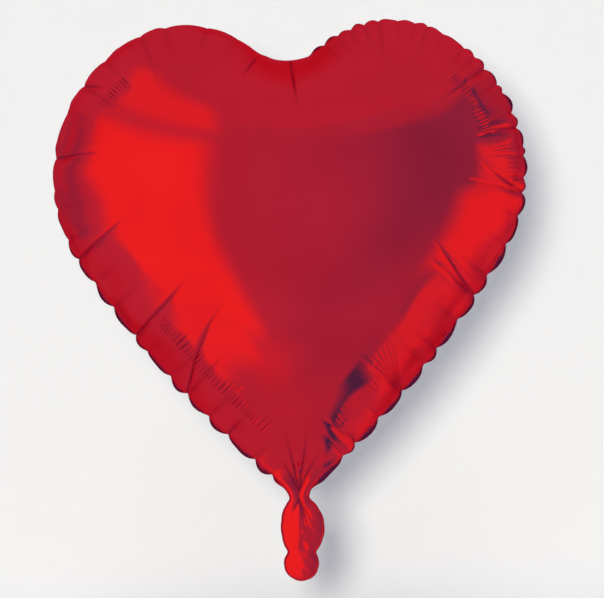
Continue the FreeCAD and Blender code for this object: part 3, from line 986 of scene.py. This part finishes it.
def foil_material():
    """Metallised film under a red tint: mirror-like, finely crinkled near the seal, with painted shade in its
    creases and a painted dark reflection on the seal.
    """
    material, tree, shader = new_material("red_foil")
    cloud = ramp(tree, noise(tree, 14.0, 3.0), 0.0, 1.0, 0.35, 0.65)
    red = mix(tree, cloud, FOIL_DARK, FOIL_BRIGHT)
    # Painted shade in the creases, folds, pleats and gathers.
    red = mix(tree, math_node(tree, "MULTIPLY", attribute(tree, "fold_painted_shade"), 0.75), red, FOLD_PAINTED_SHADE)
    # Painted dark reflection on the sealed rim.
    red = mix(tree, attribute(tree, "seal_painted_dark"), red, SEAL_PAINTED_DARK)
    gloss = ramp(tree, noise(tree, 30.0, 4.0), 0.07, 0.13, 0.3, 0.7)
    crinkled = math_node(tree, "MULTIPLY", attribute(tree, "rim"), 0.5)
    crinkle = bump(tree, noise(tree, 420.0, 3.0, 0.6), crinkled, 0.0006)
    grain = bump(tree, noise(tree, 90.0, 2.0), 0.04, 0.0015, crinkle)
    connect(tree, shader, {"Metallic": 1.0, "Specular Tint": GRAZING_TINT})
    connect(tree, shader, {"Base Color": red, "Roughness": gloss, "Normal": grain})
    return material


def clear_film_material():
    """Soft milky valve film."""
    material, tree, shader = new_material("clear_film")
    tone = mix(tree, noise(tree, 60.0, 3.0), PLY_DARK, PLY_BRIGHT)
    gloss = ramp(tree, noise(tree, 150.0), 0.35, 0.55)
    grain = bump(tree, noise(tree, 300.0, 3.0), 0.3, 0.0003)
    connect(tree, shader, {"Transmission Weight": 0.5})
    connect(tree, shader, {"Base Color": tone, "Roughness": gloss, "Normal": grain})
    return material


# ---- Stage, light and camera ----
def backdrop():
    """A pale floor, and a pale wall that rises from it in a curve and is clear from behind."""
    turn = np.linspace(-math.pi / 2, 0, 16)
    near, above = WALL_BEHIND - WALL_CURVE, FLOOR_LEVEL + WALL_CURVE
    curve = [(near + WALL_CURVE * math.cos(a), above + WALL_CURVE * math.sin(a)) for a in turn]
    curve.append((WALL_BEHIND, STAGE_REACH))
    pale_sheet("wall", [(y, z + WALL_LIFT) for y, z in curve], see_through=True)
    pale_sheet("floor", [(-STAGE_REACH, FLOOR_LEVEL), (STAGE_REACH, FLOOR_LEVEL)], see_through=False)


def pale_sheet(name, profile, see_through):
    """A sheet of pale paper whose section is the profile, and whose upper or front side is lit."""
    points = np.array([(x, y, z) for x in (-STAGE_REACH, STAGE_REACH) for y, z in profile])
    row = len(profile)
    faces = np.array([(i, i + row, i + row + 1, i + 1) for i in range(row - 1)])
    sheet = mesh_object(name, points / MM, faces)
    sheet.data.materials.append(paper_material(name + "_paper", see_through))
    sheet.visible_glossy = False


def paper_material(name, see_through):
    """Matt pale paper, clear from its back where the camera may stand behind it."""
    material, tree, shader = new_material(name)
    tone = mix(tree, noise(tree, 5.0, 2.0), PAPER_DARK, PAPER_BRIGHT)
    connect(tree, shader, {"Base Color": tone, "Roughness": 0.9, "Specular IOR Level": 0.1})
    if see_through:
        back = add_node(tree, "NewGeometry", {})["Backfacing"]
        clear = add_node(tree, "BsdfTransparent", {})["BSDF"]
        choose = add_node(tree, "MixShader", {"Fac": back, 1: shader.outputs["BSDF"], 2: clear})
        output = next(node for node in tree.nodes if node.type == "OUTPUT_MATERIAL")
        connect(tree, output, {"Surface": choose["Shader"]})
    return material


def sun(name, toward, strength, tint):
    """A soft even light for the backdrop and the shadow. What the foil mirrors is the studio round it."""
    light = bpy.data.lights.new(name, "SUN")
    light.energy = strength
    light.color = tint
    light.angle = math.radians(SUN_SIZE)
    lamp = put_in_scene(name, light)
    lamp.rotation_euler = Vector(toward).to_track_quat("Z", "Y").to_euler()
    lamp.visible_camera = False
    lamp.visible_glossy = False


def studio_light():
    """The world: pale to the eye, a soft cool fill on the backdrop, and the studio in the foil."""
    world = bpy.data.worlds.new("studio")
    bpy.context.scene.world = world
    world.use_nodes = True
    tree = world.node_tree
    tree.nodes.clear()
    direction = add_node(tree, "TexCoord", {})["Generated"]
    split = add_node(tree, "SeparateXYZ", {0: direction})
    azimuth = math_node(tree, "ARCTAN2", split["X"], math_node(tree, "MULTIPLY", split["Y"], -1.0))
    elevation = math_node(tree, "ARCSINE", split["Z"])
    level = STUDIO_LEVEL
    for turn, height, half_width, half_height, edge_across, edge_up, bright in STUDIO:
        across = band(tree, azimuth, turn, half_width, edge_across)
        up = band(tree, elevation, height, half_height, edge_up)
        level = mix(tree, math_node(tree, "MULTIPLY", across, up), level, bright, "FLOAT")
    green = ramp(tree, split["Y"], *STUDIO_GREEN, 0.35, 0.75)
    blue = math_node(tree, "MULTIPLY", ramp(tree, level, *SHADE_BLUE, 0.0, BRIGHTEST), green)
    tint = add_node(tree, "CombineColor", {"Red": level, "Green": green, "Blue": blue})["Color"]
    rays = add_node(tree, "LightPath", {})
    room = mix(tree, rays["Is Camera Ray"], FILL_LIGHT, SEEN_ROOM)
    colour = mix(tree, rays["Is Glossy Ray"], room, tint)
    background = add_node(tree, "Background", {"Color": colour})["Background"]
    add_node(tree, "OutputWorld", {"Surface": background})


def band(tree, angle, middle, half, edge):
    """1 within half of the middle angle, falling softly to 0 beyond it. The middle is in degrees."""
    away = math_node(tree, "ABSOLUTE", math_node(tree, "SUBTRACT", angle, math.radians(middle)))
    inputs = {"Value": away, "From Min": math.radians(half + edge), "From Max": math.radians(half - edge)}
    return add_node(tree, "MapRange", inputs, interpolation_type="SMOOTHSTEP")["Result"]


def lights():
    sun("key", KEY_FROM, KEY_STRENGTH, KEY_TINT)
    sun("overhead", (0, 0, 1), OVERHEAD_STRENGTH, (1, 1, 1))
    studio_light()


def camera():
    """Straight on from in front, turned a little so that the heart leans left."""
    roll = math.radians(CAMERA_ROLL)
    data = bpy.data.cameras.new("camera")
    data.sensor_width = SENSOR_WIDTH
    data.lens = SENSOR_WIDTH * CAMERA_DISTANCE / CAMERA_FIELD
    eye = put_in_scene("camera", data)
    right = Vector((math.cos(roll), 0, -math.sin(roll)))
    up = Vector((math.sin(roll), 0, math.cos(roll)))
    turn = Matrix((right, up, Vector((0, -1, 0)))).transposed().to_4x4()
    place = Vector((CAMERA_ACROSS, -CAMERA_DISTANCE, CAMERA_UP))
    eye.matrix_world = Matrix.Translation(place) @ turn
    bpy.context.scene.camera = eye


# ---- Assembly ----
rim = Rim()
finish_rim(rim)

foil = foil_material()
clear_film = clear_film_material()


def crease_lines(stretch, tilt):
    """All long creases, as depth, breadth and path. tilt of -1 leans them down instead of up."""
    lines = []
    for side, creases in ((1, RIGHT_CREASES), (-1, LEFT_CREASES)):
        for height, length, deep, lean, bend in creases:
            path = rim.line_in(side, height, stretch * length, tilt * lean, tilt * bend)
            lines.append((deep, CREASE_BREADTH, path))
    for lean in FAN_LEANS:
        path = rim.line_in(1, FAN_HEIGHT, stretch * FAN_LENGTH, tilt * lean, 0)
        lines.append((FAN_DEPTH, FAN_BREADTH, path))
    for across, length, deep, heading in NOTCH_CREASES:
        lines.append((deep, 1.0, bent_line((across, NOTCH_HEIGHT), heading, stretch * length, 0)))
    return lines


def fold_lines():
    """The folds at the neck, as depth, breadth and path: up into the heart, then down into the tail."""
    lines = []
    for way, rows in ((1, NECK_FOLDS), (-1, TAIL_FOLDS)):
        for lean, length, deep, broad in rows:
            lines.append((deep, broad, bent_line((0, way * NECK_REACH), way * 90 + lean, length, 0)))
    return lines


folds = fold_lines()
back_creases = crease_lines(BACK_STRETCH, BACK_TILT)
inlet = (INLET, INLET_RADIUS)
front_film = film("front_film", rim, -1, crease_lines(1.0, 1), folds, PLEATS, FRONT_SEED)
back_film = film("back_film", rim, 1, back_creases, folds, PLEATS, BACK_SEED, inlet)
front_ply = valve_ply("valve_front_film", -1)
back_ply = valve_ply("valve_back_film", 1)

for piece, material, slot, nodes in (
    (front_film, foil, "red_foil", ("front_panel", "tail_front")),
    (back_film, foil, "red_foil", ("back_panel", "tail_back")),
    (front_ply, clear_film, "clear_film", ("valve_front_ply",)),
    (back_ply, clear_film, "clear_film", ("valve_back_ply",)),
):
    piece.data.materials.append(material)
    piece.visible_diffuse = False
    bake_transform(piece)
    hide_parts(*nodes)

backdrop()
lights()
camera()
bpy.context.scene.view_settings.view_transform = "Standard"
